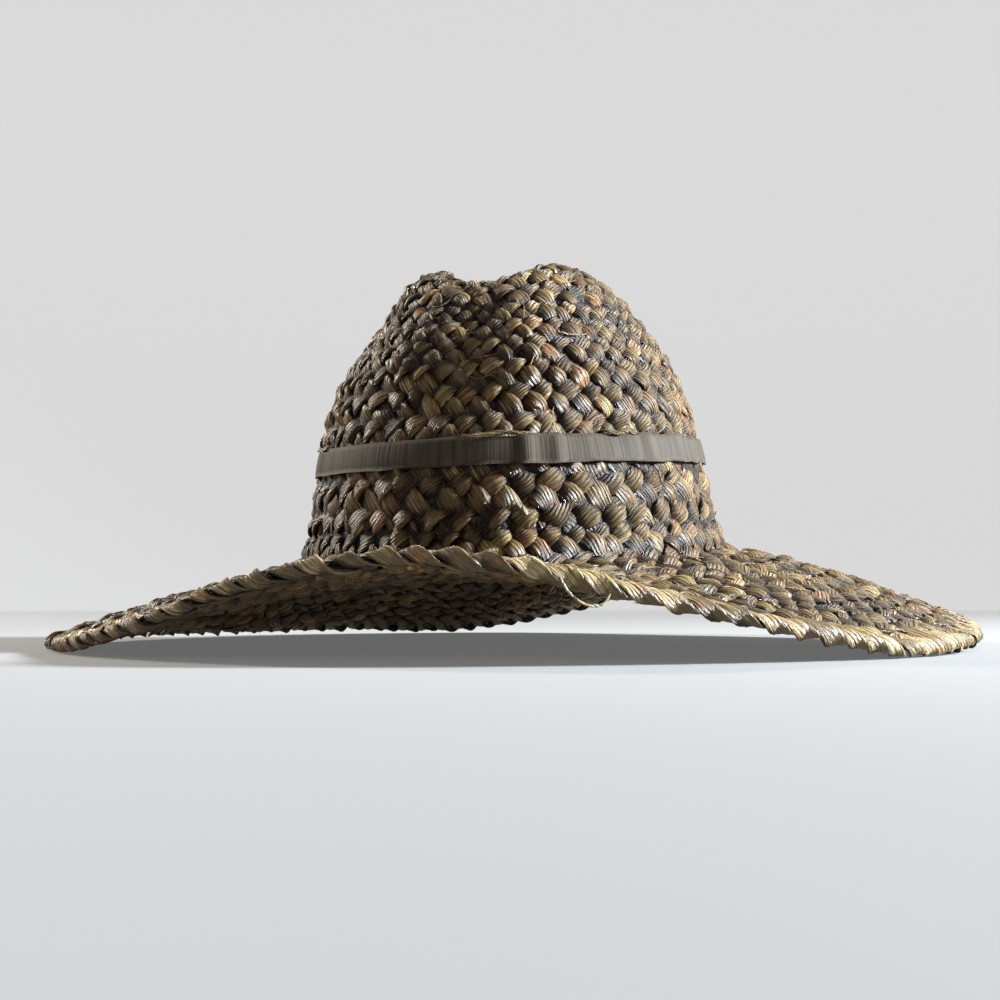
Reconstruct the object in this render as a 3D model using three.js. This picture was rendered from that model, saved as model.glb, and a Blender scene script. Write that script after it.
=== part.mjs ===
// A wide-brimmed fedora plaited from broad straw strands, with a thin ribbon round its crown,
// a folded plaited edge round its brim and a dark band inside that sits on the head.
// Millimetres, +Z up, front of the hat towards -Y, standing on its own brim at Z = 0.
import * as THREE from 'three';

// Heights in these dimensions count from the plane of the head opening.
const WALL = 3;
const GAP = 0.3;

// The crown's outer face before its dents, from the turn into the brim up to the tip.
const CROWN_SECTIONS = [
  { height: 0, halfWidth: 91.5, halfLength: 107.5 },
  { height: 2.5, halfWidth: 86.6, halfLength: 102.6 },
  { height: 9, halfWidth: 83, halfLength: 99 },
  { height: 20, halfWidth: 80.4, halfLength: 96.2 },
  { height: 42, halfWidth: 76.3, halfLength: 92.3 },
  { height: 64, halfWidth: 71.2, halfLength: 86 },
  { height: 84, halfWidth: 61.4, halfLength: 75 },
  { height: 103, halfWidth: 47.6, halfLength: 60.5 },
  { height: 115.5, halfWidth: 34, halfLength: 45 },
  { height: 120.5, halfWidth: 17, halfLength: 23 },
  { height: 121, halfWidth: 0, halfLength: 0 },
];

// The long dent pressed into the top, a teardrop that widens towards the back.
const TOP_DENT = {
  depth: 18,
  frontEnd: -62,
  frontSlope: 32,
  backEnd: 54,
  backSlope: 42,
  frontHalfWidth: 13,
  backHalfWidth: 19,
  fadeFrom: 70,
  fadeTo: 105,
};

// Hand-pressed hollows of the crown's front, by place across and height; a negative depth stands proud.
const FRONT_DENTS = [
  { name: 'valley', across: 2, height: 92, halfWidth: 11, halfHeight: 24, depth: 4 },
  { name: 'hollow', across: -6, height: 61, halfWidth: 34, halfHeight: 12, depth: 4.5 },
  { name: 'left hump', across: -26, height: 88, halfWidth: 15, halfHeight: 18, depth: -2 },
  { name: 'right hump', across: 27, height: 88, halfWidth: 17, halfHeight: 18, depth: -2 },
  { name: 'right pinch', across: 46, height: 56, halfWidth: 15, halfHeight: 13, depth: 4 },
  { name: 'left pinch', across: -48, height: 97, halfWidth: 18, halfHeight: 17, depth: 5.5 },
];
// The front dents fade out over this length before the crown's sides.
const FRONT_FADE = 40;

// Height of the brim's edge round the hat; degrees count from the wearer's left side, 90 is the back.
const BRIM_EDGE = [
  { angle: -105, height: 1.5 },
  { angle: -90, height: 9 },
  { angle: -79, height: 6.5 },
  { angle: -70, height: -0.5 },
  { angle: -57, height: -12.5 },
  { angle: -45, height: -21.5 },
  { angle: -33, height: -29 },
  { angle: 0, height: -32 },
  { angle: 27, height: -30 },
  { angle: 44, height: -26 },
  { angle: 54, height: -19 },
  { angle: 66, height: -17.5 },
  { angle: 82, height: -22.5 },
  { angle: 98, height: -34 },
  { angle: 114, height: -39 },
  { angle: 130, height: -35.5 },
  { angle: 147, height: -32 },
  { angle: 162, height: -29 },
  { angle: 180, height: -25 },
  { angle: 200, height: -22.5 },
  { angle: 225, height: -18.5 },
  { angle: 243, height: -9.5 },
];
const BRIM_HALF_WIDTH = 182;
const BRIM_HALF_LENGTH = 200;
const BRIM_FALL_POWER = 1.25;
// Over this share of the brim its wall turns from the crown's wall to its own.
const BRIM_TURN = 0.12;

// A soft fold across the brim behind the wearer's right shoulder.
const BRIM_FOLD = { angle: 155, halfAngle: 11, middle: 0.78, halfWidth: 0.12, depth: 5 };

// The strands turned back along the edge, plaited into a row of teeth.
const EDGE = { width: 8, height: 5, corner: 1.5, teeth: 110, toothDepth: 1.6 };

const RIBBON = { bottom: 36, height: 10, thickness: 1 };

// Small upright folds of the ribbon, by their place round the crown.
const RIBBON_FOLDS = [
  { angle: -72, halfAngle: 3, rise: 1.2 },
  { angle: -64, halfAngle: 2.5, rise: 0.9 },
  { angle: -36, halfAngle: 3, rise: 1.1 },
  { angle: -22, halfAngle: 4, rise: 1.3 },
  { angle: 74, halfAngle: 3, rise: 1 },
  { angle: 160, halfAngle: 3.5, rise: 1.1 },
  { angle: 216, halfAngle: 3, rise: 0.9 },
];

const SWEATBAND = { bottom: 7, height: 24, thickness: 1.2 };

// The hat leans a little as it stands on three places of its edge.
const REST = { pitch: 3.29, roll: -1.53, lift: 34.75 };

const COLUMNS = 48;
const CROWN_RINGS = 20;
const BRIM_RINGS = 7;
const RIBBON_COLUMNS = 144;
const SWEATBAND_RINGS = 3;

const UP = new THREE.Vector3(0, 0, 1);

function smoothStep(value) {
  const t = THREE.MathUtils.clamp(value, 0, 1);
  return t * t * (3 - 2 * t);
}

function bell(offset, halfWidth) {
  return Math.exp(-((offset / halfWidth) ** 2));
}

function angleBetween(a, b) {
  const turn = ((a - b) % 360 + 540) % 360;
  return turn - 180;
}

// The crown's profile is a smooth curve through its sections: half width, half length, height.
const crownProfile = new THREE.CatmullRomCurve3(
  CROWN_SECTIONS.map((row) => new THREE.Vector3(row.halfWidth, row.halfLength, row.height)),
);

function topDentDepth(x, y, height) {
  const alongFront = smoothStep((y - TOP_DENT.frontEnd) / TOP_DENT.frontSlope);
  const alongBack = smoothStep((TOP_DENT.backEnd - y) / TOP_DENT.backSlope);
  const towardsBack = (y - TOP_DENT.frontEnd) / (TOP_DENT.backEnd - TOP_DENT.frontEnd);
  const halfWidth = THREE.MathUtils.lerp(
    TOP_DENT.frontHalfWidth,
    TOP_DENT.backHalfWidth,
    smoothStep(towardsBack),
  );
  const fade = smoothStep((height - TOP_DENT.fadeFrom) / (TOP_DENT.fadeTo - TOP_DENT.fadeFrom));
  return TOP_DENT.depth * alongFront * alongBack * bell(x, halfWidth) * fade;
}

function frontDentDepth(x, y, height) {
  const fade = smoothStep(-y / FRONT_FADE);
  return FRONT_DENTS.reduce((sum, dent) => {
    const across = bell(x - dent.across, dent.halfWidth);
    return sum + fade * dent.depth * across * bell(height - dent.height, dent.halfHeight);
  }, 0);
}

// A point of the crown's outer face: share runs from 0 at the brim to 1 at the tip.
function crownFace(angle, share) {
  const section = crownProfile.getPointAt(THREE.MathUtils.clamp(share, 0, 1));
  const x = section.x * Math.cos(angle);
  const y = section.y * Math.sin(angle);
  const inward = frontDentDepth(x, y, section.z);
  const fromAxis = Math.hypot(x, y) || 1;
  return new THREE.Vector3(
    x * (1 - inward / fromAxis),
    y * (1 - inward / fromAxis),
    section.z - topDentDepth(x, y, section.z),
  );
}

// Smooth closed interpolation of the edge heights round the brim.
function brimEdgeHeight(degrees) {
  const rows = BRIM_EDGE;
  const start = rows[0].angle;
  const place = (((degrees - start) % 360) + 360) % 360;
  const at = (index) => {
    const laps = Math.floor(index / rows.length);
    const row = rows[index - laps * rows.length];
    return { place: row.angle - start + laps * 360, height: row.height };
  };
  let index = 0;
  while (at(index + 1).place <= place) index += 1;
  const [before, left, right, after] = [-1, 0, 1, 2].map((step) => at(index + step));
  const span = right.place - left.place;
  const t = (place - left.place) / span;
  const leftSlope = (right.height - before.height) / (right.place - before.place);
  const rightSlope = (after.height - left.height) / (after.place - left.place);
  return (
    (2 * t ** 3 - 3 * t ** 2 + 1) * left.height +
    (t ** 3 - 2 * t ** 2 + t) * span * leftSlope +
    (3 * t ** 2 - 2 * t ** 3) * right.height +
    (t ** 3 - t ** 2) * span * rightSlope
  );
}

// A point of the brim's top face: share runs from 0 at the crown to 1 at the outer edge.
function brimFace(angle, share) {
  const degrees = THREE.MathUtils.radToDeg(angle);
  const root = CROWN_SECTIONS[0];
  const halfWidth = THREE.MathUtils.lerp(root.halfWidth, BRIM_HALF_WIDTH, share);
  const halfLength = THREE.MathUtils.lerp(root.halfLength, BRIM_HALF_LENGTH, share);
  const fold =
    BRIM_FOLD.depth *
    bell(angleBetween(degrees, BRIM_FOLD.angle), BRIM_FOLD.halfAngle) *
    bell(share - BRIM_FOLD.middle, BRIM_FOLD.halfWidth);
  return new THREE.Vector3(
    halfWidth * Math.cos(angle),
    halfLength * Math.sin(angle),
    brimEdgeHeight(degrees) * Math.max(share, 0) ** BRIM_FALL_POWER - fold,
  );
}

// The outward direction of a face, from its slopes round the hat and along its share.
function faceNormal(face, angle, share) {
  const step = 0.01;
  const low = Math.max(share - step, 0);
  const high = Math.min(share + step, 1 - step);
  const round = face(angle + step, share).sub(face(angle - step, share));
  const along = face(angle, high).sub(face(angle, low));
  return round.cross(along).normalize();
}

function crownPoint(angle, share, depth) {
  if (share >= 1) return crownFace(angle, 1).addScaledVector(UP, -depth);
  return crownFace(angle, share).addScaledVector(faceNormal(crownFace, angle, share), -depth);
}

// The brim's wall meets the crown's wall square, and is upright at the outer edge.
function brimPoint(angle, share, depth) {
  const brimNormal = faceNormal(brimFace, angle, share).negate().lerp(UP, share);
  const across = faceNormal(crownFace, angle, 0)
    .lerp(brimNormal, smoothStep(share / BRIM_TURN))
    .normalize();
  return brimFace(angle, share).addScaledVector(across, -depth);
}

// The share of the crown's profile at which it passes a height.
function crownShareAt(height) {
  const halvings = 30;
  let low = 0;
  let high = 1;
  for (let halving = 0; halving < halvings; halving += 1) {
    const middle = (low + high) / 2;
    if (crownProfile.getPointAt(middle).z < height) low = middle;
    else high = middle;
  }
  return low;
}

function range(count) {
  return Array.from({ length: count }, (unused, index) => index);
}

// Leans and lifts a point from the opening's frame to the hat standing on its edge.
const lean = new THREE.Euler(
  THREE.MathUtils.degToRad(REST.pitch),
  THREE.MathUtils.degToRad(REST.roll),
  0,
);
function standing(point) {
  const placed = point.clone().applyEuler(lean);
  placed.z = Math.max(placed.z + REST.lift, 0);
  return placed;
}

// Skins a closed loop of points repeated round the hat; a dome's sections start and end on one point.
function bodyOfSections(sections, isDome) {
  const columns = sections.length;
  const loop = sections[0].length;
  const positions = [];
  const indices = [];
  const pushPoint = (point) => {
    const { x, y, z } = standing(point);
    positions.push(x, y, z);
    return positions.length / 3 - 1;
  };
  const first = isDome ? pushPoint(sections[0][0]) : null;
  const last = isDome ? pushPoint(sections[0][loop - 1]) : null;
  const grid = sections.map((section) =>
    section.map((point, row) => {
      if (isDome && row === 0) return first;
      if (isDome && row === loop - 1) return last;
      return pushPoint(point);
    }),
  );
  const rows = isDome ? loop - 1 : loop;
  for (const column of range(columns)) {
    const here = grid[column];
    const next = grid[(column + 1) % columns];
    for (const row of range(rows)) {
      const above = (row + 1) % loop;
      if (here[row] !== next[row]) indices.push(here[row], here[above], next[row]);
      if (here[above] !== next[above]) indices.push(next[row], here[above], next[above]);
    }
  }
  const geometry = new THREE.BufferGeometry();
  geometry.setAttribute('position', new THREE.Float32BufferAttribute(positions, 3));
  geometry.setIndex(indices);
  geometry.computeVertexNormals();
  return geometry;
}

function anglesRound(columns) {
  return range(columns).map((column) => (column / columns) * Math.PI * 2);
}

function crownBody() {
  const seam = GAP / 2 / crownProfile.getLength();
  const shares = range(CROWN_RINGS + 1).map((ring) => seam + (1 - seam) * (ring / CROWN_RINGS));
  const sections = anglesRound(COLUMNS).map((angle) => [
    ...shares.toReversed().map((share) => crownPoint(angle, share, 0)),
    ...shares.map((share) => crownPoint(angle, share, WALL)),
  ]);
  return bodyOfSections(sections, true);
}

function brimBody() {
  const width = BRIM_HALF_WIDTH - CROWN_SECTIONS[0].halfWidth;
  const seam = GAP / 2 / width;
  const end = 1 - (EDGE.width + GAP) / width;
  const shares = range(BRIM_RINGS + 1).map((ring) => seam + (end - seam) * (ring / BRIM_RINGS));
  const sections = anglesRound(COLUMNS).map((angle) => [
    ...shares.map((share) => brimPoint(angle, share, 0)),
    ...shares.toReversed().map((share) => brimPoint(angle, share, WALL)),
  ]);
  return bodyOfSections(sections, false);
}

function edgeBody() {
  const columns = EDGE.teeth * 2;
  const sections = anglesRound(columns).map((angle, column) => {
    const rim = brimFace(angle, 1);
    const outward = new THREE.Vector3(rim.x, rim.y, 0).normalize();
    const tooth = column % 2 === 0 ? 0 : EDGE.toothDepth;
    const middle = rim.z - WALL / 2;
    const corner = (inset, rise) => rim.clone().addScaledVector(outward, -inset).setZ(middle + rise);
    const half = EDGE.height / 2;
    return [
      corner(EDGE.width, half),
      corner(EDGE.corner + tooth, half),
      corner(tooth, half - EDGE.corner),
      corner(tooth, EDGE.corner - half),
      corner(EDGE.corner + tooth, -half),
      corner(EDGE.width, -half),
    ];
  });
  return bodyOfSections(sections, false);
}

function ribbonFoldRise(degrees) {
  return RIBBON_FOLDS.reduce(
    (sum, fold) => sum + fold.rise * bell(angleBetween(degrees, fold.angle), fold.halfAngle),
    0,
  );
}

function ribbonBody() {
  const low = crownShareAt(RIBBON.bottom);
  const high = crownShareAt(RIBBON.bottom + RIBBON.height);
  const sections = anglesRound(RIBBON_COLUMNS).map((angle) => {
    const inner = GAP + ribbonFoldRise(THREE.MathUtils.radToDeg(angle));
    const outer = inner + RIBBON.thickness;
    return [
      crownPoint(angle, high, -outer),
      crownPoint(angle, low, -outer),
      crownPoint(angle, low, -inner),
      crownPoint(angle, high, -inner),
    ];
  });
  return bodyOfSections(sections, false);
}

function sweatbandBody() {
  const low = crownShareAt(SWEATBAND.bottom);
  const high = crownShareAt(SWEATBAND.bottom + SWEATBAND.height);
  const shares = range(SWEATBAND_RINGS + 1).map((ring) => low + (high - low) * (ring / SWEATBAND_RINGS));
  const outer = WALL + GAP;
  const inner = outer + SWEATBAND.thickness;
  const sections = anglesRound(COLUMNS).map((angle) => [
    ...shares.toReversed().map((share) => crownPoint(angle, share, outer)),
    ...shares.map((share) => crownPoint(angle, share, inner)),
  ]);
  return bodyOfSections(sections, false);
}

const straw = { color: 0x5a4a38, roughness: 0.62, metalness: 0 };
const edgeStraw = { color: 0x8f7850, roughness: 0.58, metalness: 0 };
const ribbonCloth = { color: 0x5f574e, roughness: 0.8, metalness: 0 };
const bandCloth = { color: 0x16130f, roughness: 0.85, metalness: 0 };

function piece(name, geometry, finish) {
  const mesh = new THREE.Mesh(geometry, new THREE.MeshStandardMaterial(finish));
  mesh.name = name;
  return mesh;
}

const hat = new THREE.Group();
hat.add(
  piece('crown', crownBody(), straw),
  piece('brim', brimBody(), straw),
  piece('edge_plait', edgeBody(), edgeStraw),
  piece('ribbon_band', ribbonBody(), ribbonCloth),
  piece('sweatband', sweatbandBody(), bandCloth),
);

// The hat's box is centred on the Z axis.
const centre = new THREE.Box3().setFromObject(hat).getCenter(new THREE.Vector3());
hat.position.set(-centre.x, -centre.y, 0);

const model = new THREE.Group();
model.add(hat);

export default model;
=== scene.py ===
import math

import bpy
import numpy as np
from mathutils import Matrix, Vector


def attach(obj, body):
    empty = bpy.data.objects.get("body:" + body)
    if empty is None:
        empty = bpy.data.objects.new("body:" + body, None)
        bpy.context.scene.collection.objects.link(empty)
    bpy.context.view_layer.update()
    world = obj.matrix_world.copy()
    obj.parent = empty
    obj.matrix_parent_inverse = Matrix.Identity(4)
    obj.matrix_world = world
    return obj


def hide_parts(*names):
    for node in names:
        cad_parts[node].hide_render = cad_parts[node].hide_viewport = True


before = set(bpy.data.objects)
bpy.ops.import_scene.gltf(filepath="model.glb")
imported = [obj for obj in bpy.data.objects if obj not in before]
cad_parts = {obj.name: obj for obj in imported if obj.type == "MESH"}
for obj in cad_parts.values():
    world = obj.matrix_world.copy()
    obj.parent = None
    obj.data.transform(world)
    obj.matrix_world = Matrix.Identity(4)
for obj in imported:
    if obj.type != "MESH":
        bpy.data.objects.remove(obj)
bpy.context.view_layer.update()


# Crown: plaited from broad seagrass strands in two sets that lean opposite ways and cross over
# and under. It is worked from the tip down in rounds, with strands added as it widens, and is
# pressed by hand into one long top dent and softer dents at the front while it is damp.
TURN = 2 * math.pi
WALL = 0.003

# Height over the head opening, half width and half length of the crown before its dents.
CROWN_ROWS = np.array([
    (0.0, 0.0915, 0.1075),
    (0.0025, 0.0866, 0.1026),
    (0.009, 0.083, 0.099),
    (0.020, 0.0804, 0.0962),
    (0.042, 0.0763, 0.0923),
    (0.064, 0.0712, 0.086),
    (0.084, 0.0614, 0.075),
    (0.103, 0.0476, 0.0605),
    (0.1155, 0.034, 0.045),
    (0.1205, 0.017, 0.023),
    (0.121, 0.0, 0.0),
])
CROWN_CURVE_POINTS = 900
TOP_DENT_DEPTH = 0.018
TOP_DENT_ENDS = (-0.062, 0.054)
TOP_DENT_SLOPES = (0.032, 0.042)
TOP_DENT_HALF_WIDTHS = (0.013, 0.019)
TOP_DENT_FADE = (0.070, 0.105)

# Place across, height, half width, half height and depth of the front dents; a minus stands proud.
FRONT_DENTS = [
    (0.002, 0.092, 0.011, 0.024, 0.004),
    (-0.006, 0.061, 0.034, 0.012, 0.0045),
    (-0.026, 0.088, 0.015, 0.018, -0.002),
    (0.027, 0.088, 0.017, 0.018, -0.002),
    (0.046, 0.056, 0.015, 0.013, 0.004),
    (-0.048, 0.097, 0.018, 0.017, 0.0055),
]
FRONT_FADE = 0.040

# The hat leans a little as it stands on its brim.
HAT_PITCH = math.radians(3.29)
HAT_ROLL = math.radians(-1.53)
HAT_PLACE = np.array([-0.0008, -0.00067, 0.03475])
HAT_TURN = np.array(Matrix.Rotation(HAT_PITCH, 3, "X") @ Matrix.Rotation(HAT_ROLL, 3, "Y"))
FLOOR_CLEARANCE = 0.0003


def ease(value):
    """Rises smoothly from 0 to 1 as the value does."""
    t = np.clip(value, 0.0, 1.0)
    return t * t * (3.0 - 2.0 * t)


def bell(offset, half_width):
    return np.exp(-((offset / half_width) ** 2))


def unit(vectors):
    return vectors / np.maximum(np.linalg.norm(vectors, axis=-1, keepdims=True), 1e-9)


def smooth_between(places, values, slopes, at):
    """A smooth curve through the values that has the slopes given at each place."""
    index = np.clip(np.searchsorted(places, at, side="right") - 1, 0, len(places) - 2)
    span = places[index + 1] - places[index]
    t = (at - places[index]) / span
    return (
        (2 * t**3 - 3 * t**2 + 1) * values[index]
        + (t**3 - 2 * t**2 + t) * span * slopes[index]
        + (3 * t**2 - 2 * t**3) * values[index + 1]
        + (t**3 - t**2) * span * slopes[index + 1]
    )


def crown_profile():
    """Points of a smooth curve through the crown's rows, and the way up the crown to each."""
    steps = np.sqrt(np.linalg.norm(np.diff(CROWN_ROWS, axis=0), axis=1))
    places = np.concatenate([[0.0], np.cumsum(steps)])
    fine = np.linspace(0.0, places[-1], CROWN_CURVE_POINTS)
    columns = [
        smooth_between(places, values, np.gradient(values, places), fine) for values in CROWN_ROWS.T
    ]
    curve = np.stack(columns, axis=1)
    lengths = np.linalg.norm(np.diff(curve, axis=0), axis=1)
    return curve, np.concatenate([[0.0], np.cumsum(lengths)])


crown_curve, crown_lengths = crown_profile()
CROWN_LENGTH = crown_lengths[-1]


def crown_face(angle, travel):
    """The crown's outer face; travel is 0 at the turn into the brim and negative up the crown."""
    up = np.clip(-travel, 0.0, CROWN_LENGTH)
    height, half_width, half_length = (
        np.interp(up, crown_lengths, crown_curve[:, column]) for column in range(3)
    )
    x = half_width * np.cos(angle)
    y = half_length * np.sin(angle)
    inward = np.zeros_like(x)
    for across, level, dent_width, dent_height, depth in FRONT_DENTS:
        inward += depth * bell(x - across, dent_width) * bell(height - level, dent_height)
    inward *= ease(-y / FRONT_FADE)
    shrink = 1 - inward / np.maximum(np.hypot(x, y), 1e-5)
    front, back = TOP_DENT_ENDS
    towards_back = ease((y - front) / (back - front))
    dent_half_width = np.interp(towards_back, (0, 1), TOP_DENT_HALF_WIDTHS)
    dent = TOP_DENT_DEPTH * ease((y - front) / TOP_DENT_SLOPES[0]) * ease((back - y) / TOP_DENT_SLOPES[1])
    dent *= bell(x, dent_half_width)
    dent *= ease((height - TOP_DENT_FADE[0]) / (TOP_DENT_FADE[1] - TOP_DENT_FADE[0]))
    return np.stack([x * shrink, y * shrink, height - dent], axis=-1)


def outward(face, angle, travel):
    """The way straight out of a face, from one small step round the hat and one down it."""
    turn, step = 0.012, 0.0008
    around = face(angle + turn, travel) - face(angle - turn, travel)
    along = face(angle, travel + step) - face(angle, travel - step)
    return unit(np.cross(along, around))


def travel_at_height(height):
    return -np.interp(height, crown_curve[:, 0], crown_lengths)


def standing(points):
    """Leans points of the hat as it stands, and keeps them just over the floor."""
    placed = points @ HAT_TURN.T + HAT_PLACE
    placed[..., 2] = np.maximum(placed[..., 2], FLOOR_CLEARANCE)
    return placed


# A strand is a few folded blades of grass: flat on its faces, fairly sharp along its edges, and
# loosely twisted, so that its fibres run a little across it.
BLADE_EDGE = 0.85
BLADE_FLATNESS = 0.62
EDGE_RELIEF_SHARE = 0.4
FIBRE_SLANT = 0.22
FIBRE_SEEDS = 50
LARGEST_SPREAD = 2.2


def by_crossing(rng, strands, crossing, spread):
    """A random value for each strand at each crossing, eased from one crossing to the next."""
    values = rng.normal(0.0, spread, (strands, int(crossing[-1]) + 3))
    values = np.clip(values, -LARGEST_SPREAD * spread, LARGEST_SPREAD * spread)
    index = np.floor(crossing).astype(int)
    part = ease(crossing - index)
    return values[:, index] * (1 - part) + values[:, index + 1] * part


def blade_ridges(rng, strands, crossing, spread, points_round):
    """How far the blades of each strand stand out, point by point round its section."""
    sides = [by_crossing(rng, strands, crossing, spread) for _ in range(points_round)]
    return np.stack(sides, axis=-1)


def lay_strands(centre, normal, half_width, half_depth, twist, ridges, along, tone, level, level_scale):
    """Skins flat strands laid along centre lines. Each strand is one row of the arrays.

    Grain holds the way along and across each strand for its fibres. Shade holds its tone, and
    its height in the plait, from -1 on the inner face to 1 on the outer one.
    """
    points_round = ridges.shape[-1]
    tangent = unit(np.gradient(centre, axis=1))
    normal = unit(normal - tangent * np.sum(normal * tangent, axis=-1, keepdims=True))
    across = np.cross(normal, tangent)
    phi = np.arange(points_round) / points_round * TURN
    flat_x = np.sign(np.cos(phi)) * np.abs(np.cos(phi)) ** BLADE_EDGE
    flat_y = np.sign(np.sin(phi)) * np.abs(np.sin(phi)) ** BLADE_FLATNESS
    x = flat_x * half_width[..., None] * (1 + ridges * EDGE_RELIEF_SHARE)
    y = flat_y * half_depth[..., None] * (1 + ridges)
    cos_twist, sin_twist = np.cos(twist)[..., None], np.sin(twist)[..., None]
    side = x * cos_twist - y * sin_twist
    rise = x * sin_twist + y * cos_twist
    points = centre[:, :, None] + across[:, :, None] * side[..., None] + normal[:, :, None] * rise[..., None]
    seeds = np.random.default_rng(points.shape[0]).uniform(0, FIBRE_SEEDS, points.shape[0])
    seeds = seeds[:, None, None]
    slanted = x + FIBRE_SLANT * along[..., None]
    grain = np.stack(np.broadcast_arrays(along[..., None], slanted, seeds), axis=-1)
    height = (level[..., None] + rise) / level_scale
    shade = np.stack(np.broadcast_arrays(tone[..., None], height, seeds / FIBRE_SEEDS), axis=-1)
    return points, grain, shade


def strand_faces(ids):
    """Faces of closed strands: along each strand, and over its two ends."""
    points_round = ids.shape[2]
    after = np.roll(ids, -1, axis=2)
    sides = np.stack([ids[:, :-1], after[:, :-1], after[:, 1:], ids[:, 1:]], axis=-1)
    near = np.arange(points_round // 2 - 1)
    far = points_round - 1 - near
    end = np.stack([near, near + 1, far - 1, far], axis=-1)
    first_end, last_end = ids[:, 0][:, end[:, ::-1]], ids[:, -1][:, end]
    return np.concatenate([quads.reshape(-1, 4) for quads in (sides, first_end, last_end)])


def strand_piece(name, grids, finish, node=None):
    """Joins grids of strands into one smooth mesh object, which may stand for a solid."""
    vertices, quads, grains, shades, count = [], [], [], [], 0
    for points, grain, shade in grids:
        ids = np.arange(points[..., 0].size).reshape(points.shape[:3]) + count
        quads.append(strand_faces(ids))
        vertices.append(standing(points).reshape(-1, 3))
        grains.append(grain.reshape(-1, 3))
        shades.append(shade.reshape(-1, 3))
        count += ids.size
    quads = np.concatenate(quads)
    mesh = bpy.data.meshes.new(name)
    mesh.vertices.add(count)
    mesh.vertices.foreach_set("co", np.concatenate(vertices).ravel())
    mesh.loops.add(quads.size)
    mesh.loops.foreach_set("vertex_index", quads.ravel())
    mesh.polygons.add(len(quads))
    mesh.polygons.foreach_set("loop_start", np.arange(len(quads)) * 4)
    mesh.polygons.foreach_set("use_smooth", np.ones(len(quads), dtype=bool))
    for label, rows in (("grain", grains), ("shade", shades)):
        layer = mesh.attributes.new(label, "FLOAT_VECTOR", "POINT")
        layer.data.foreach_set("vector", np.concatenate(rows).ravel())
    mesh.update()
    mesh.validate()
    mesh.materials.append(finish)
    piece = bpy.data.objects.new(name, mesh)
    bpy.context.collection.objects.link(piece)
    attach(piece, "root")
    if node:
        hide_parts(node)
    return piece


STRAND_SPACING = 0.0078
STRAND_DEPTH = 0.0023
STRAND_WAVE = 0.0013
STRAND_TWIST = 0.22
WAVE_FLATNESS = 0.7

# A strand is narrower and thicker where it dives under another, and tapers at its two ends, over
# a length counted in crossings.
DIVE_NARROWING = 0.1
DIVE_THICKENING = 0.15
END_LENGTH = 0.7
END_SIZE = 0.3

# How much strands differ from crossing to crossing, as shares, radians and steps of tone. Some
# of it is the same all along a strand.
WANDER_SPREAD = 0.08
WAVE_SPREAD = 0.2
WIDTH_SPREAD = 0.1
STRAND_WIDTH_SPREAD = 0.07
DEPTH_SPREAD = 0.14
TWIST_SPREAD = 0.22
RIDGE_SPREAD = 0.16
RIDGE_HEIGHT = 0.12
TONE_SPREAD = 0.24

# Heights over the head opening between which the ribbon and the head band press the plait flat,
# and how much of its wave each takes away.
RIBBON_HEIGHTS = (0.036, 0.046)
RIBBON_PRESS = 0.85
BAND_HEIGHTS = (0.007, 0.031)
BAND_PRESS = 0.5
PRESS_MARGIN = 0.003


def pressed(travel, heights, share):
    """1 where the plait is free, falling by the share where a band holds it flat."""
    bottom, top = (travel_at_height(height) for height in heights)
    below_top = ease((travel - top) / PRESS_MARGIN + 1)
    above_bottom = ease((bottom - travel) / PRESS_MARGIN + 1)
    return 1 - share * below_top * above_bottom


def crossings_along(face, strands, start, end, rings_per_crossing):
    """Counts the crossings down one zone, with the place and the strand spacing at each ring."""
    travel = np.linspace(start, end, 240)
    net = face(np.linspace(0, TURN, 145)[None, :], travel[:, None])
    round_lengths = np.linalg.norm(np.diff(net, axis=1), axis=2).sum(axis=1)
    steps = np.linalg.norm(np.diff(net, axis=0), axis=2).mean(axis=1)
    mean_rounds = (round_lengths[1:] + round_lengths[:-1]) / 2
    crossings = np.concatenate([[0.0], np.cumsum(2 * strands * steps / mean_rounds)])
    rings = int(math.ceil(crossings[-1] * rings_per_crossing)) + 1
    crossing = np.linspace(0.0, crossings[-1], rings)
    place = np.interp(crossing, crossings, travel)
    spacing = np.interp(crossing, crossings, round_lengths) / strands / math.sqrt(2)
    return crossing, place, spacing


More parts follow.
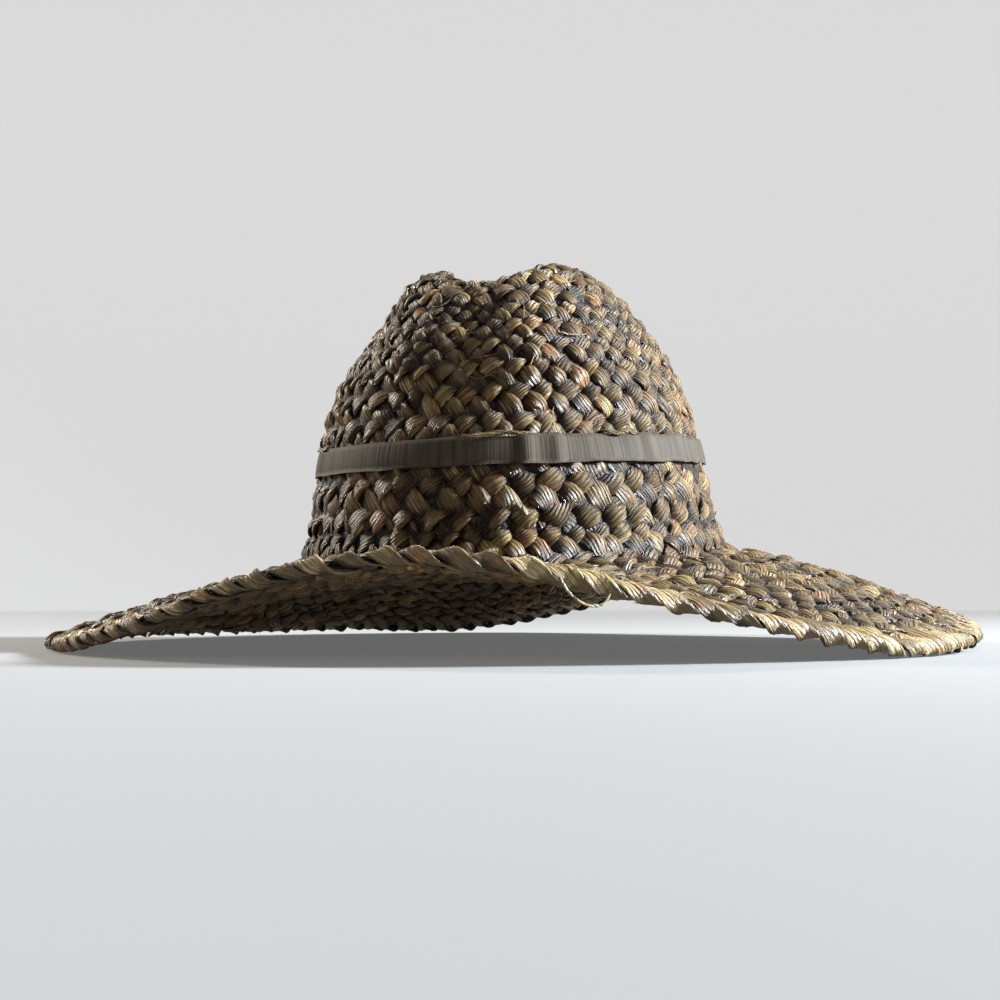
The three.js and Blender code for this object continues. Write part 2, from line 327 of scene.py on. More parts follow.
def plait(face, strands, start, end, rng, rings_per_crossing, points_round):
    """One zone of the plait, as a right-leaning and a left-leaning set of strands."""
    crossing, place, spacing = crossings_along(face, strands, start, end, rings_per_crossing)
    first = rng.uniform(0, 1)
    ends = ease(np.minimum(crossing, crossing[-1] - crossing) / END_LENGTH)
    taper = END_SIZE + (1 - END_SIZE) * ends
    dive = np.sin(math.pi * crossing) ** 2
    wave = np.tanh(WAVE_FLATNESS * np.cos(math.pi * crossing)) / math.tanh(WAVE_FLATNESS)
    fineness = np.minimum(1, spacing / STRAND_SPACING) ** 0.5
    sets = []
    for hand in (1, -1):
        wander = by_crossing(rng, strands, crossing / 2, WANDER_SPREAD)
        angle = TURN / strands * (first + np.arange(strands)[:, None] + hand * crossing / 2 + wander)
        where = np.broadcast_to(place, angle.shape)
        normal = outward(face, angle, where)
        outer = pressed(where, RIBBON_HEIGHTS, RIBBON_PRESS)
        inner = pressed(where, BAND_HEIGHTS, BAND_PRESS)

        swell = 1 + by_crossing(rng, strands, crossing, WAVE_SPREAD)
        level = hand * wave * STRAND_WAVE * swell * ends * fineness
        level = np.where(level > 0, level * outer, level * inner)

        half_width = spacing / 2 * (1 - DIVE_NARROWING * dive) * taper
        differs = by_crossing(rng, strands, crossing, WIDTH_SPREAD)
        differs = differs + rng.normal(0, STRAND_WIDTH_SPREAD, (strands, 1))
        half_width = half_width * (1 + differs)
        half_depth = STRAND_DEPTH / 2 * (1 + DIVE_THICKENING * dive) * taper
        half_depth = half_depth * (1 + by_crossing(rng, strands, crossing, DEPTH_SPREAD)) * fineness

        twist = (STRAND_TWIST + by_crossing(rng, strands, crossing, TWIST_SPREAD)) * outer
        ridges = blade_ridges(rng, strands, crossing, RIDGE_SPREAD, points_round)
        ridges = ridges + RIDGE_HEIGHT * np.cos(math.pi * np.arange(points_round))
        tone = by_crossing(rng, strands, crossing, TONE_SPREAD) + rng.normal(0, TONE_SPREAD, (strands, 1))

        centre = face(angle, where) + normal * (level - WALL / 2)[..., None]
        along = np.broadcast_to(crossing * STRAND_SPACING, angle.shape)
        sets.append(lay_strands(
            centre, normal, half_width, half_depth, twist, ridges, along, tone, level,
            STRAND_WAVE + STRAND_DEPTH / 2,
        ))
    return sets


# Each strand shows the edges of its folded blades as fine grooves that wander a little. Lengths
# are in metres; the stretches say how often a pattern changes per metre along and across.
BLADE_WIDTH = 0.0014
BLADE_WAVINESS = 0.004
BLADE_WAVE_STRETCH = (130.0, 130.0, 1.0)
FINE_FIBRE_STRETCH = (110.0, 2800.0, 1.0)
BROAD_FIBRE_STRETCH = (70.0, 800.0, 1.0)
DYE_PATCH_STRETCH = (95.0, 90.0, 3.0)
FIBRE_RELIEF = 0.0014

# The dye has taken unevenly: some stretches have turned reddish and some greenish.
RED_DYE = (1.0, 0.62, 0.42)
GREEN_DYE = (0.86, 1.0, 0.62)
DYE_STRENGTH = 0.75


def straw_finish(name, ramp, worn_and_highlight_colour, gap_shade_colour, under_lighting_tint, roughness):
    """Seagrass: long fine fibres that vary in colour, with dark red-brown painted shade in its gaps."""
    finish = bpy.data.materials.new(name)
    finish.use_nodes = True
    nodes, links = finish.node_tree.nodes, finish.node_tree.links
    shader = nodes["Principled BSDF"]

    def attribute_parts(label):
        attribute = nodes.new("ShaderNodeAttribute")
        attribute.attribute_name = label
        parts = nodes.new("ShaderNodeSeparateXYZ")
        links.new(attribute.outputs["Vector"], parts.inputs[0])
        return attribute.outputs["Vector"], parts.outputs

    grain, grain_parts = attribute_parts("grain")
    _, shade_parts = attribute_parts("shade")

    def fibres(stretch, detail):
        scaled = nodes.new("ShaderNodeVectorMath")
        scaled.operation = "MULTIPLY"
        scaled.inputs[1].default_value = stretch
        links.new(grain, scaled.inputs[0])
        noise = nodes.new("ShaderNodeTexNoise")
        noise.inputs["Scale"].default_value = 1.0
        noise.inputs["Detail"].default_value = detail
        noise.inputs["Roughness"].default_value = 0.6
        links.new(scaled.outputs[0], noise.inputs["Vector"])
        return noise.outputs["Fac"]

    def ranged(value, low, high, to_low, to_high):
        node = nodes.new("ShaderNodeMapRange")
        node.interpolation_type = "SMOOTHSTEP"
        links.new(value, node.inputs["Value"])
        node.inputs["From Min"].default_value = low
        node.inputs["From Max"].default_value = high
        node.inputs["To Min"].default_value = to_low
        node.inputs["To Max"].default_value = to_high
        return node.outputs["Result"]

    def worked(operation, value, number=0.0, added=None):
        node = nodes.new("ShaderNodeMath")
        node.operation = operation
        links.new(value, node.inputs[0])
        node.inputs[1].default_value = number
        if added is not None:
            links.new(added, node.inputs[2])
        return node.outputs[0]

    def with_share(base, share, value):
        return worked("MULTIPLY_ADD", value, share, base)

    def blended(factor, first, second, kind="MIX"):
        node = nodes.new("ShaderNodeMix")
        node.data_type = "RGBA"
        node.blend_type = kind
        links.new(factor, node.inputs["Factor"])
        for socket, value in ((node.inputs[6], first), (node.inputs[7], second)):
            if isinstance(value, tuple):
                socket.default_value = (*value, 1.0)
            else:
                links.new(value, socket)
        return node.outputs[2]

    # Tone of the strand, with streaks of lighter and darker fibre, read off the colour ramp.
    fine = fibres(FINE_FIBRE_STRETCH, 2.0)
    broad = fibres(BROAD_FIBRE_STRETCH, 1.0)
    tone = ranged(shade_parts["X"], -2.4, 2.4, 0.0, 1.0)
    streaked = with_share(with_share(tone, 0.5, fine), 0.7, broad)
    colours = nodes.new("ShaderNodeValToRGB")
    colours.color_ramp.interpolation = "EASE"
    while len(colours.color_ramp.elements) < len(ramp):
        colours.color_ramp.elements.new(0.5)
    for element, (position, colour) in zip(colours.color_ramp.elements, ramp):
        element.position = position
        element.color = (*colour, 1.0)
    links.new(ranged(streaked, 0.82, 1.42, 0.0, 1.0), colours.inputs["Fac"])
    dye = fibres(DYE_PATCH_STRETCH, 0.0)
    reddish = ranged(dye, 0.5, 0.66, 0.0, DYE_STRENGTH)
    greenish = ranged(dye, 0.5, 0.34, 0.0, DYE_STRENGTH)
    straw = blended(reddish, colours.outputs["Color"], RED_DYE, "MULTIPLY")
    straw = blended(greenish, straw, GREEN_DYE, "MULTIPLY")

    # Painted shade in blade grooves and low gaps; crests lightened as wear and as a painted highlight.
    wandering = with_share(grain_parts["Y"], BLADE_WAVINESS, fibres(BLADE_WAVE_STRETCH, 0.0))
    rib = worked("ABSOLUTE", worked("SINE", worked("MULTIPLY", wandering, math.pi / BLADE_WIDTH)))
    from_middle = worked("ABSOLUTE", shade_parts["Y"])
    groove = ranged(rib, 0.05, 0.45, 0.8, 0.0)
    relief = ranged(from_middle, 0.2, 0.8, 0.0, 1.0)
    crest = ranged(from_middle, 0.7, 1.15, 0.0, 0.45)
    colour = blended(groove, straw, gap_shade_colour)
    colour = blended(relief, gap_shade_colour, colour)
    colour = blended(crest, colour, worn_and_highlight_colour)

    # Painted lighting on the under side: a tint over 1 lightens it as painted light, one under 1 darkens it
    # as painted shade.
    under = ranged(shade_parts["Y"], -0.15, 0.15, 1.0, 0.0)
    colour = blended(under, colour, blended(under, colour, under_lighting_tint, "MULTIPLY"))
    links.new(colour, shader.inputs["Base Color"])
    smooth, rough = roughness
    links.new(ranged(fine, 0.3, 0.75, rough, smooth), shader.inputs["Roughness"])
    bump = nodes.new("ShaderNodeBump")
    bump.inputs["Strength"].default_value = 1.0
    bump.inputs["Distance"].default_value = FIBRE_RELIEF
    links.new(with_share(with_share(fine, 1.0, broad), 0.5, rib), bump.inputs["Height"])
    links.new(bump.outputs["Normal"], shader.inputs["Normal"])
    shader.inputs["Specular IOR Level"].default_value = 0.36
    return finish


STRAW_RAMP = [
    (0.0, (0.010, 0.005, 0.002)),
    (0.3, (0.028, 0.0140, 0.0043)),
    (0.55, (0.067, 0.0370, 0.0122)),
    (0.78, (0.144, 0.088, 0.033)),
    (1.0, (0.380, 0.268, 0.130)),
]
# Painted shade: the colour that darkens the gaps and grooves of the plait.
GAP_SHADE_COLOUR = (0.010, 0.004, 0.002)
# Wear and a painted highlight: the colour that lightens the crests of the plait.
WORN_AND_HIGHLIGHT_COLOUR = (0.230, 0.152, 0.066)
# The straw's under side is tinted lighter, as painted light.
crown_straw = straw_finish(
    "straw", STRAW_RAMP, WORN_AND_HIGHLIGHT_COLOUR, GAP_SHADE_COLOUR,
    under_lighting_tint=(1.4, 1.3, 1.15), roughness=(0.38, 0.56),
)

# Strand count of each round of the crown, and where it starts and ends. The rounds overlap, and
# the narrowest starts at a small eye in the middle of the tip.
CROWN_FOOT = travel_at_height(0.012)
CROWN_ZONES = [
    (46, travel_at_height(0.099), CROWN_FOOT),
    (30, travel_at_height(0.1178), travel_at_height(0.096)),
    (16, -CROWN_LENGTH + 0.0105, travel_at_height(0.1168)),
    (7, -CROWN_LENGTH + 0.0015, -CROWN_LENGTH + 0.0135),
]
CROWN_RINGS_PER_CROSSING = 6
CROWN_POINTS_ROUND = 12
LEANS = ("right", "left")
CROWN_PIECES = [f"crown_strands_leaning_{lean}" for lean in LEANS]
crown_rng = np.random.default_rng(11)
crown_sets = [
    plait(crown_face, *zone, crown_rng, CROWN_RINGS_PER_CROSSING, CROWN_POINTS_ROUND)
    for zone in CROWN_ZONES
]
for index, piece_name in enumerate(CROWN_PIECES):
    strand_piece(piece_name, [sets[index] for sets in crown_sets], crown_straw, "crown")


# Brim: the same plait carried on past the head opening, with more strands let in as it widens.
# It is left soft, so it dips at the sides and lifts in front, with one slack fold at the back
# on the wearer's right.
BRIM_HALF_WIDTH = 0.182
BRIM_HALF_LENGTH = 0.200
BRIM_FALL_POWER = 1.25
OPENING_HALF_WIDTH, OPENING_HALF_LENGTH = CROWN_ROWS[0, 1:]
BRIM_WIDTH = BRIM_HALF_WIDTH - OPENING_HALF_WIDTH

# Height of the brim's edge round the hat, by degrees from the wearer's left side.
BRIM_EDGE = np.array([
    (-105, 0.0015), (-90, 0.009), (-79, 0.0065), (-70, -0.0005), (-57, -0.0125), (-45, -0.0215),
    (-33, -0.029), (0, -0.032), (27, -0.030), (44, -0.026), (54, -0.019), (66, -0.0175),
    (82, -0.0225), (98, -0.034), (114, -0.039), (130, -0.0355), (147, -0.032), (162, -0.029),
    (180, -0.025), (200, -0.0225), (225, -0.0185), (243, -0.0095),
])
BRIM_FOLD_ANGLE = math.radians(155)
BRIM_FOLD_HALF_ANGLE = math.radians(11)
BRIM_FOLD_MIDDLE = 0.78
BRIM_FOLD_HALF_WIDTH = 0.12
BRIM_FOLD_DEPTH = 0.005


def closed_edge_rows():
    """The edge's places, heights and slopes, with two rows repeated past each end."""
    lap = np.array([360.0, 0.0])
    rows = np.concatenate([BRIM_EDGE[-2:] - lap, BRIM_EDGE, BRIM_EDGE[:2] + lap])
    places, heights = rows.T
    slopes = np.zeros_like(heights)
    slopes[1:-1] = (heights[2:] - heights[:-2]) / (places[2:] - places[:-2])
    return places, heights, slopes


edge_rows = closed_edge_rows()


def brim_edge_height(angle):
    start = BRIM_EDGE[0, 0]
    degrees = (np.degrees(angle) - start) % 360.0 + start
    return smooth_between(*edge_rows, degrees)


def brim_face(angle, travel):
    """The brim's upper face; travel is 0 at the turn into the crown and grows outwards."""
    share = np.maximum(travel, 0.0) / BRIM_WIDTH
    half_width = OPENING_HALF_WIDTH + (BRIM_HALF_WIDTH - OPENING_HALF_WIDTH) * share
    half_length = OPENING_HALF_LENGTH + (BRIM_HALF_LENGTH - OPENING_HALF_LENGTH) * share
    away = (angle - BRIM_FOLD_ANGLE + math.pi) % TURN - math.pi
    fold = BRIM_FOLD_DEPTH * bell(away, BRIM_FOLD_HALF_ANGLE)
    fold = fold * bell(share - BRIM_FOLD_MIDDLE, BRIM_FOLD_HALF_WIDTH)
    height = brim_edge_height(angle) * share**BRIM_FALL_POWER - fold
    return np.stack([half_width * np.cos(angle), half_length * np.sin(angle), height], axis=-1)


def hat_face(angle, travel):
    angle, travel = np.broadcast_arrays(angle, travel)
    on_crown = (travel < 0)[..., None]
    return np.where(on_crown, crown_face(angle, travel), brim_face(angle, travel))


BRIM_ZONES = [
    (58, CROWN_FOOT - 0.004, 0.026),
    (80, 0.022, 0.057),
    (110, 0.053, BRIM_WIDTH - 0.004),
]
BRIM_RINGS_PER_CROSSING = 5
BRIM_POINTS_ROUND = 10
# The brim's under side is tinted lighter, as painted light.
brim_straw = straw_finish(
    "brim_straw", STRAW_RAMP, WORN_AND_HIGHLIGHT_COLOUR, GAP_SHADE_COLOUR,
    under_lighting_tint=(1.6, 1.5, 1.3), roughness=(0.38, 0.58),
)
brim_rng = np.random.default_rng(23)
brim_sets = [
    plait(hat_face, *zone, brim_rng, BRIM_RINGS_PER_CROSSING, BRIM_POINTS_ROUND)
    for zone in BRIM_ZONES
]
for index, lean in enumerate(LEANS):
    strand_piece(
        f"brim_strands_leaning_{lean}", [sets[index] for sets in brim_sets], brim_straw,
        "brim",
    )


# Shade sheet: a thin sheet lies between the two sets of strands, in the middle of the wall, and
# closes the small gaps at the corners of the plait, so that no light comes through. Its dark is painted
# shade.
SHADE_SHEET_THICKNESS = 0.0004
SHADE_SHEET_TONE = -1.6
SHADE_SHEET_EYE = 0.0003
SHADE_SHEET_EDGE_INSET = 0.0022
SHADE_SHEET_COLUMNS = 180
SHADE_SHEET_ROWS = 45


def shade_sheet_layer():
    travel = np.concatenate([
        np.linspace(SHADE_SHEET_EYE - CROWN_LENGTH, CROWN_FOOT, SHADE_SHEET_ROWS),
        np.linspace(CROWN_FOOT, BRIM_WIDTH - SHADE_SHEET_EDGE_INSET, SHADE_SHEET_ROWS)[1:],
    ])[:, None]
    angle = np.arange(SHADE_SHEET_COLUMNS)[None, :] * TURN / SHADE_SHEET_COLUMNS
    normal = outward(hat_face, angle, travel)
    middle = hat_face(angle, travel) - normal * WALL / 2
    upper = middle + normal * SHADE_SHEET_THICKNESS / 2
    lower = middle - normal * SHADE_SHEET_THICKNESS / 2
    loop = np.swapaxes(np.concatenate([upper, lower[::-1]]), 0, 1)
    ids = np.arange(loop[..., 0].size).reshape(loop.shape[:2])
    beside = np.roll(ids, -1, axis=0)
    quads = np.stack([ids, beside, np.roll(beside, -1, axis=1), np.roll(ids, -1, axis=1)], axis=-1)
    mesh = bpy.data.meshes.new("dark_shade_sheet")
    mesh.from_pydata(standing(loop).reshape(-1, 3), [], quads.reshape(-1, 4).tolist())
    mesh.polygons.foreach_set("use_smooth", np.ones(len(mesh.polygons), dtype=bool))
    shade = np.zeros_like(loop)
    # The sheet takes the darkest tone and the gap colour, as painted shade.
    shade[..., 0] = SHADE_SHEET_TONE
    for label, values in (("grain", loop), ("shade", shade)):
        layer = mesh.attributes.new(label, "FLOAT_VECTOR", "POINT")
        layer.data.foreach_set("vector", values.astype(np.float32).ravel())
    mesh.materials.append(brim_straw)
    piece = bpy.data.objects.new("dark_shade_sheet", mesh)
    bpy.context.collection.objects.link(piece)
    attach(piece, "root")


shade_sheet_layer()


# Edge: each strand that reaches the rim is turned along it over the next one, then down and back
# under the brim, where its end is tucked in. Tan on top, with painted shade where it turns under.
EDGE_STRANDS = 110
EDGE_RINGS = 26
EDGE_POINTS_ROUND = 10
EDGE_ADVANCE = 2.3
EDGE_LEAN = 0.35
EDGE_SWING = math.radians(150)
EDGE_LOOP = 0.0016
EDGE_TUCK = 0.0085
EDGE_TUCK_RISE = 0.0006
EDGE_HALF_WIDTH = 0.0029
EDGE_HALF_DEPTH = 0.0007
EDGE_END_SHARE = 0.14
EDGE_TWIST = 0.24
EDGE_TONE = 0.5
EDGE_UNDER_SHADE_TONE = 1.9
EDGE_STRAND_LENGTH = 0.03


def spread_share(rng, count, spread):
    """A factor near 1 for each of a number of strands."""
    return 1 + rng.normal(0, spread, (count, 1))


def edge_grid(rng):
    """From over the brim (t = 0), out round the rim, and back in under it (t = 1)."""
    t = np.linspace(0.0, 1.0, EDGE_RINGS)
    lean = (2 * t - 1) + EDGE_LEAN * np.sin(TURN * (2 * t - 1) / 2)
    swing = EDGE_SWING * -lean
    advance = EDGE_ADVANCE * (ease(t) - 0.5)
    shift = rng.normal(0, 0.07, (EDGE_STRANDS, 1))
    angle = TURN / EDGE_STRANDS * (np.arange(EDGE_STRANDS)[:, None] + advance + shift)
    wrap = np.clip(swing, -math.pi / 2, math.pi / 2)
    tucked = ease((np.abs(swing) - math.pi / 2) / (EDGE_SWING - math.pi / 2))
    loop = EDGE_LOOP * spread_share(rng, EDGE_STRANDS, 0.1)
    inset = EDGE_LOOP + EDGE_HALF_DEPTH * 2 - loop * np.cos(wrap) + EDGE_TUCK * tucked
    rim = brim_face(angle, np.full(angle.shape, BRIM_WIDTH))
    rim_way = unit(rim * np.array([1.0, 1.0, 0.0]))
    centre = rim - rim_way * inset[..., None]
    slope = -brim_edge_height(angle) / BRIM_WIDTH * BRIM_FALL_POWER
    centre[..., 2] += loop * np.sin(wrap) - WALL / 2 + slope * inset
    centre[..., 2] -= EDGE_TUCK_RISE * np.sign(wrap) * ease(tucked)
    upright = np.array([0, 0, 1.0])
    normal = rim_way * np.cos(wrap)[None, :, None] + upright * np.sin(wrap)[None, :, None]
    ends = ease(np.minimum(t, 1 - t) / EDGE_END_SHARE)
    half_width = EDGE_HALF_WIDTH * (0.35 + 0.65 * ends) * spread_share(rng, EDGE_STRANDS, 0.1)
    half_depth = EDGE_HALF_DEPTH * (0.5 + 0.5 * ends) * spread_share(rng, EDGE_STRANDS, 0.12)
    crossing = t * 3
    twist = EDGE_TWIST + by_crossing(rng, EDGE_STRANDS, crossing, 0.16)
    ridges = blade_ridges(rng, EDGE_STRANDS, crossing, 0.1, EDGE_POINTS_ROUND)
    tone = EDGE_TONE + rng.normal(0, 0.35, (EDGE_STRANDS, 1))
    tone = tone + by_crossing(rng, EDGE_STRANDS, crossing, 0.25)
    # Painted shade: the strands darken where they turn under the brim.
    tone = tone - EDGE_UNDER_SHADE_TONE * ease(-(wrap + 0.1) / 0.9)
    along = np.broadcast_to(t * EDGE_STRAND_LENGTH, angle.shape)
    level = np.full(angle.shape, 0.001)
    return lay_strands(centre, normal, half_width, half_depth, twist, ridges, along, tone, level, 0.0014)


EDGE_RAMP = [
    (0.0, (0.012, 0.006, 0.002)),
    (0.3, (0.036, 0.020, 0.008)),
    (0.55, (0.095, 0.058, 0.024)),
    (0.78, (0.210, 0.140, 0.064)),
    (1.0, (0.500, 0.390, 0.230)),
]
# Painted shade: the colour that darkens the gaps and grooves of the edge strands.
EDGE_GAP_SHADE_COLOUR = (0.020, 0.009, 0.004)
# Wear and a painted highlight: the colour that lightens the crests of the edge strands.
EDGE_WORN_AND_HIGHLIGHT_COLOUR = (0.31, 0.22, 0.11)
# The edge's under side is tinted darker, as painted shade.
edge_straw = straw_finish(
    "edge_straw", EDGE_RAMP, EDGE_WORN_AND_HIGHLIGHT_COLOUR, EDGE_GAP_SHADE_COLOUR,
    under_lighting_tint=(0.55, 0.5, 0.45), roughness=(0.30, 0.52),
)
edge_rng = np.random.default_rng(31)
strand_piece("folded_edge_strands", [edge_grid(edge_rng)], edge_straw, "edge_plait")


# Ribbon: a narrow grosgrain ribbon pulled round the crown a little over the brim, with fine
# upright ribs. It puckers where it turns over the straw, and its end laps over its start at the
# back.
RIBBON_THICKNESS = 0.0006
RIBBON_CLEARANCE = 0.0013
RIBBON_START = math.radians(97)
RIBBON_LAP = math.radians(9)
RIBBON_COLUMNS = 900
RIBBON_ROWS = 7
RIBBON_RIB = 0.0006
LAP_RISE = math.radians(3)

# Place and half width in degrees, and rise, of each pucker.
RIBBON_PUCKERS = [
    (-72, 3, 0.0012), (-64, 2.5, 0.0009), (-36, 3, 0.0011), (-22, 4, 0.0013), (74, 3, 0.001),
    (160, 3.5, 0.0011), (216, 3, 0.0009),
]
PUCKER_WIDENING = 0.3


def waves(angle, rng, lowest, highest, height):
    """A smooth random line round the hat, made of sines that close on themselves."""
    line = np.zeros_like(angle)
    for count in range(lowest, highest):
        line += math.sin(count) * np.sin(count * angle + rng.uniform(0, TURN)) * rng.uniform(0.5, 1)
    return height * line / math.sqrt(highest - lowest)


def lap_lift(angle, lift):
    """Lifts the end of a band over its start."""
    return lift * ease((angle - RIBBON_START - TURN + LAP_RISE) / LAP_RISE)


def band_mesh(name, angle, heights, depths, thickness, rows):
    """A strip round the crown with a rounded section; depths count outwards from the crown's face."""
    section_rows = np.linspace(0, 1, rows)
    rounding = 1 - np.exp(-np.minimum(section_rows, 1 - section_rows) * rows * 1.2)
    share = np.concatenate([section_rows, section_rows[::-1]])
    lift = np.concatenate([thickness / 2 * rounding, -thickness / 2 * rounding[::-1]])
    height = heights[0][:, None] + (heights[1] - heights[0])[:, None] * share
    travel = travel_at_height(height)
    around = np.broadcast_to(angle[:, None], travel.shape)
    normal = outward(crown_face, around, travel)
    points = crown_face(around, travel) + normal * (depths[:, None] + lift)[..., None]
    lengths = np.linalg.norm(np.diff(points[:, 0], axis=0), axis=1)
    run = np.concatenate([[0.0], np.cumsum(lengths)])
    ids = np.arange(travel.size).reshape(travel.shape)
    after = np.roll(ids, -1, axis=1)
    quads = np.stack([ids[:-1], ids[1:], after[1:], after[:-1]], axis=-1).reshape(-1, 4)
    ends = [list(ids[0]), list(ids[-1][::-1])]
    mesh = bpy.data.meshes.new(name)
    mesh.from_pydata(standing(points).reshape(-1, 3), [], quads.tolist() + ends)
    mesh.polygons.foreach_set("use_smooth", np.ones(len(mesh.polygons), dtype=bool))
    layer = mesh.attributes.new("cloth", "FLOAT_VECTOR", "POINT")
    cloth = np.stack(np.broadcast_arrays(run[:, None], height, np.sign(lift)), axis=-1)
    layer.data.foreach_set("vector", cloth.astype(np.float32).ravel())
    piece = bpy.data.objects.new(name, mesh)
    bpy.context.collection.objects.link(piece)
    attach(piece, "root")
    return piece, run[-1]


def cloth_finish(name, dark, light, rib, rib_relief, roughness, sheen):
    """Woven cloth with ribs across its length and uneven, slightly faded dye."""
    finish = bpy.data.materials.new(name)
    finish.use_nodes = True
    nodes, links = finish.node_tree.nodes, finish.node_tree.links
    shader = nodes["Principled BSDF"]
    cloth = nodes.new("ShaderNodeAttribute")
    cloth.attribute_name = "cloth"

    def streaks(stretch, detail):
        scaled = nodes.new("ShaderNodeVectorMath")
        scaled.operation = "MULTIPLY"
        scaled.inputs[1].default_value = stretch
        links.new(cloth.outputs["Vector"], scaled.inputs[0])
        noise = nodes.new("ShaderNodeTexNoise")
        noise.inputs["Scale"].default_value = 1.0
        noise.inputs["Detail"].default_value = detail
        links.new(scaled.outputs[0], noise.inputs["Vector"])
        return noise.outputs["Fac"]

    def with_share(base, share, value):
        node = nodes.new("ShaderNodeMath")
        node.operation = "MULTIPLY_ADD"
        links.new(value, node.inputs[0])
        node.inputs[1].default_value = share
        links.new(base, node.inputs[2])
        return node.outputs[0]

    ribs = streaks((1 / rib, 12.0, 1.0), 0.0)
    upright = streaks((260.0, 25.0, 1.0), 4.0)
    speckle = streaks((3500.0, 3500.0, 1.0), 1.0)
    colours = nodes.new("ShaderNodeValToRGB")
    darkest, lightest = colours.color_ramp.elements
    darkest.position = 0.42
    darkest.color = (*dark, 1)
    lightest.position = 0.92
    lightest.color = (*light, 1)
    links.new(with_share(upright, 0.35, ribs), colours.inputs["Fac"])
    links.new(colours.outputs["Color"], shader.inputs["Base Color"])
    bump = nodes.new("ShaderNodeBump")
    bump.inputs["Distance"].default_value = rib_relief
    links.new(with_share(ribs, 0.4, speckle), bump.inputs["Height"])
    links.new(bump.outputs["Normal"], shader.inputs["Normal"])
    shader.inputs["Roughness"].default_value = roughness
    shader.inputs["Specular IOR Level"].default_value = 0.25
    shader.inputs["Sheen Weight"].default_value = sheen
    return finish


def ribbon():
    rng = np.random.default_rng(41)
    angle = RIBBON_START + np.linspace(0, TURN + RIBBON_LAP, RIBBON_COLUMNS)
    pucker = np.zeros_like(angle)
    for degrees, half_degrees, rise in RIBBON_PUCKERS:
        away = (np.degrees(angle) - degrees + 180) % 360 - 180
        pucker += rise * bell(away, half_degrees) * (0.75 + 0.25 * np.cos(away / half_degrees * 2.6))
    depths = RIBBON_CLEARANCE + RIBBON_THICKNESS / 2 + pucker + lap_lift(angle, RIBBON_THICKNESS * 1.3)
    depths = depths + waves(angle, rng, 20, 60, 0.00012)
    bottom = RIBBON_HEIGHTS[0] + waves(angle, rng, 3, 40, 0.0004) - pucker * PUCKER_WIDENING
    top = RIBBON_HEIGHTS[1] + waves(angle, rng, 3, 40, 0.0004) + pucker * PUCKER_WIDENING
    piece, length = band_mesh(
        "grosgrain_ribbon", angle, (bottom, top), depths, RIBBON_THICKNESS, RIBBON_ROWS,
    )
    piece.data.materials.append(cloth_finish(
        "grosgrain", dark=(0.018, 0.013, 0.008), light=(0.058, 0.044, 0.029),
        rib=RIBBON_RIB, rib_relief=0.00012, roughness=0.75, sheen=0.0,
    ))
    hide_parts("ribbon_band")


ribbon()


# Head band: a soft black woven band sewn inside the crown just above the brim, which grips the
# head. A row of black stitches holds it to the straw.
BAND_THICKNESS = 0.0010
BAND_DEPTH = -0.0047
BAND_LAP = math.radians(6)
BAND_COLUMNS = 500
BAND_ROWS = 9
BAND_RIB = 0.0012
STITCHES = 96
STITCH_LENGTH = 0.0034
STITCH_THICKNESS = 0.0005
STITCH_INSET = 0.0032
STITCH_RISE = 0.0003
STITCH_DIP = 0.0011


def stitch_grid(rng):
    """Short threads along the band's lower edge, whose ends dip into the cloth."""
    share = np.linspace(-0.5, 0.5, 7)
    angle = TURN * (np.arange(STITCHES)[:, None] + rng.normal(0, 0.06, (STITCHES, 1))) / STITCHES
    angle = angle + share * STITCH_LENGTH / CROWN_ROWS[1, 1]
    height = BAND_HEIGHTS[0] + STITCH_INSET + rng.normal(0, 0.0002, (STITCHES, 1))
    travel = travel_at_height(np.broadcast_to(height, angle.shape))
    normal = -outward(crown_face, angle, travel)
    lift = -BAND_DEPTH + BAND_THICKNESS / 2 + STITCH_RISE - STITCH_DIP * (2 * share) ** 4
    centre = crown_face(angle, travel) + normal * np.broadcast_to(lift, angle.shape)[..., None]
    thick = np.full(angle.shape, STITCH_THICKNESS / 2)
    even, ridges = np.zeros(angle.shape), np.zeros((*angle.shape, 6))
    return lay_strands(centre, normal, thick, thick, even, ridges, angle * 0.08, even, even, 0.001)


def head_band():
    rng = np.random.default_rng(43)
    angle = RIBBON_START + np.linspace(0, TURN + BAND_LAP, BAND_COLUMNS)
    depths = BAND_DEPTH - lap_lift(angle, BAND_THICKNESS * 1.1) + waves(angle, rng, 4, 24, 0.0003)
    bottom = BAND_HEIGHTS[0] + waves(angle, rng, 3, 14, 0.0003)
    top = BAND_HEIGHTS[1] + waves(angle, rng, 3, 14, 0.0005)
    piece, length = band_mesh(
        "woven_head_band", angle, (bottom, top), depths, BAND_THICKNESS, BAND_ROWS,
    )
    finish = cloth_finish(
        "head_band_cloth", dark=(0.006, 0.005, 0.004), light=(0.028, 0.024, 0.020),
        rib=BAND_RIB, rib_relief=0.0002, roughness=0.85, sheen=0.25,
    )
    piece.data.materials.append(finish)
    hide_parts("sweatband")
    strand_piece("head_band_stitches", [stitch_grid(rng)], finish)


head_band()


# Loose fibres: fine splits of straw that have lifted off the plait, most of them springing back
# into it as low loops. One longer loop hangs under the front edge, where a strand has split, and
# six slack strands have slid over the ribbon's top edge.
LOOSE_ON_CROWN = 80
LOOSE_ON_BRIM = 110
LOOSE_LENGTHS = (0.006, 0.017)
LOOSE_RISES = (0.0003, 0.0016)
LOOSE_RADII = (0.00009, 0.00022)
LOOSE_ROOT_DEPTH = 0.0007
LOOSE_CLOSED_SHARE = 0.7
# Fibres stand high in the plait's shade heights, so they take the crest colour, wear and painted highlight,
# and no gap shade.
FIBRE_LEVEL = 0.004
FIBRE_LEVEL_SCALE = 0.0028

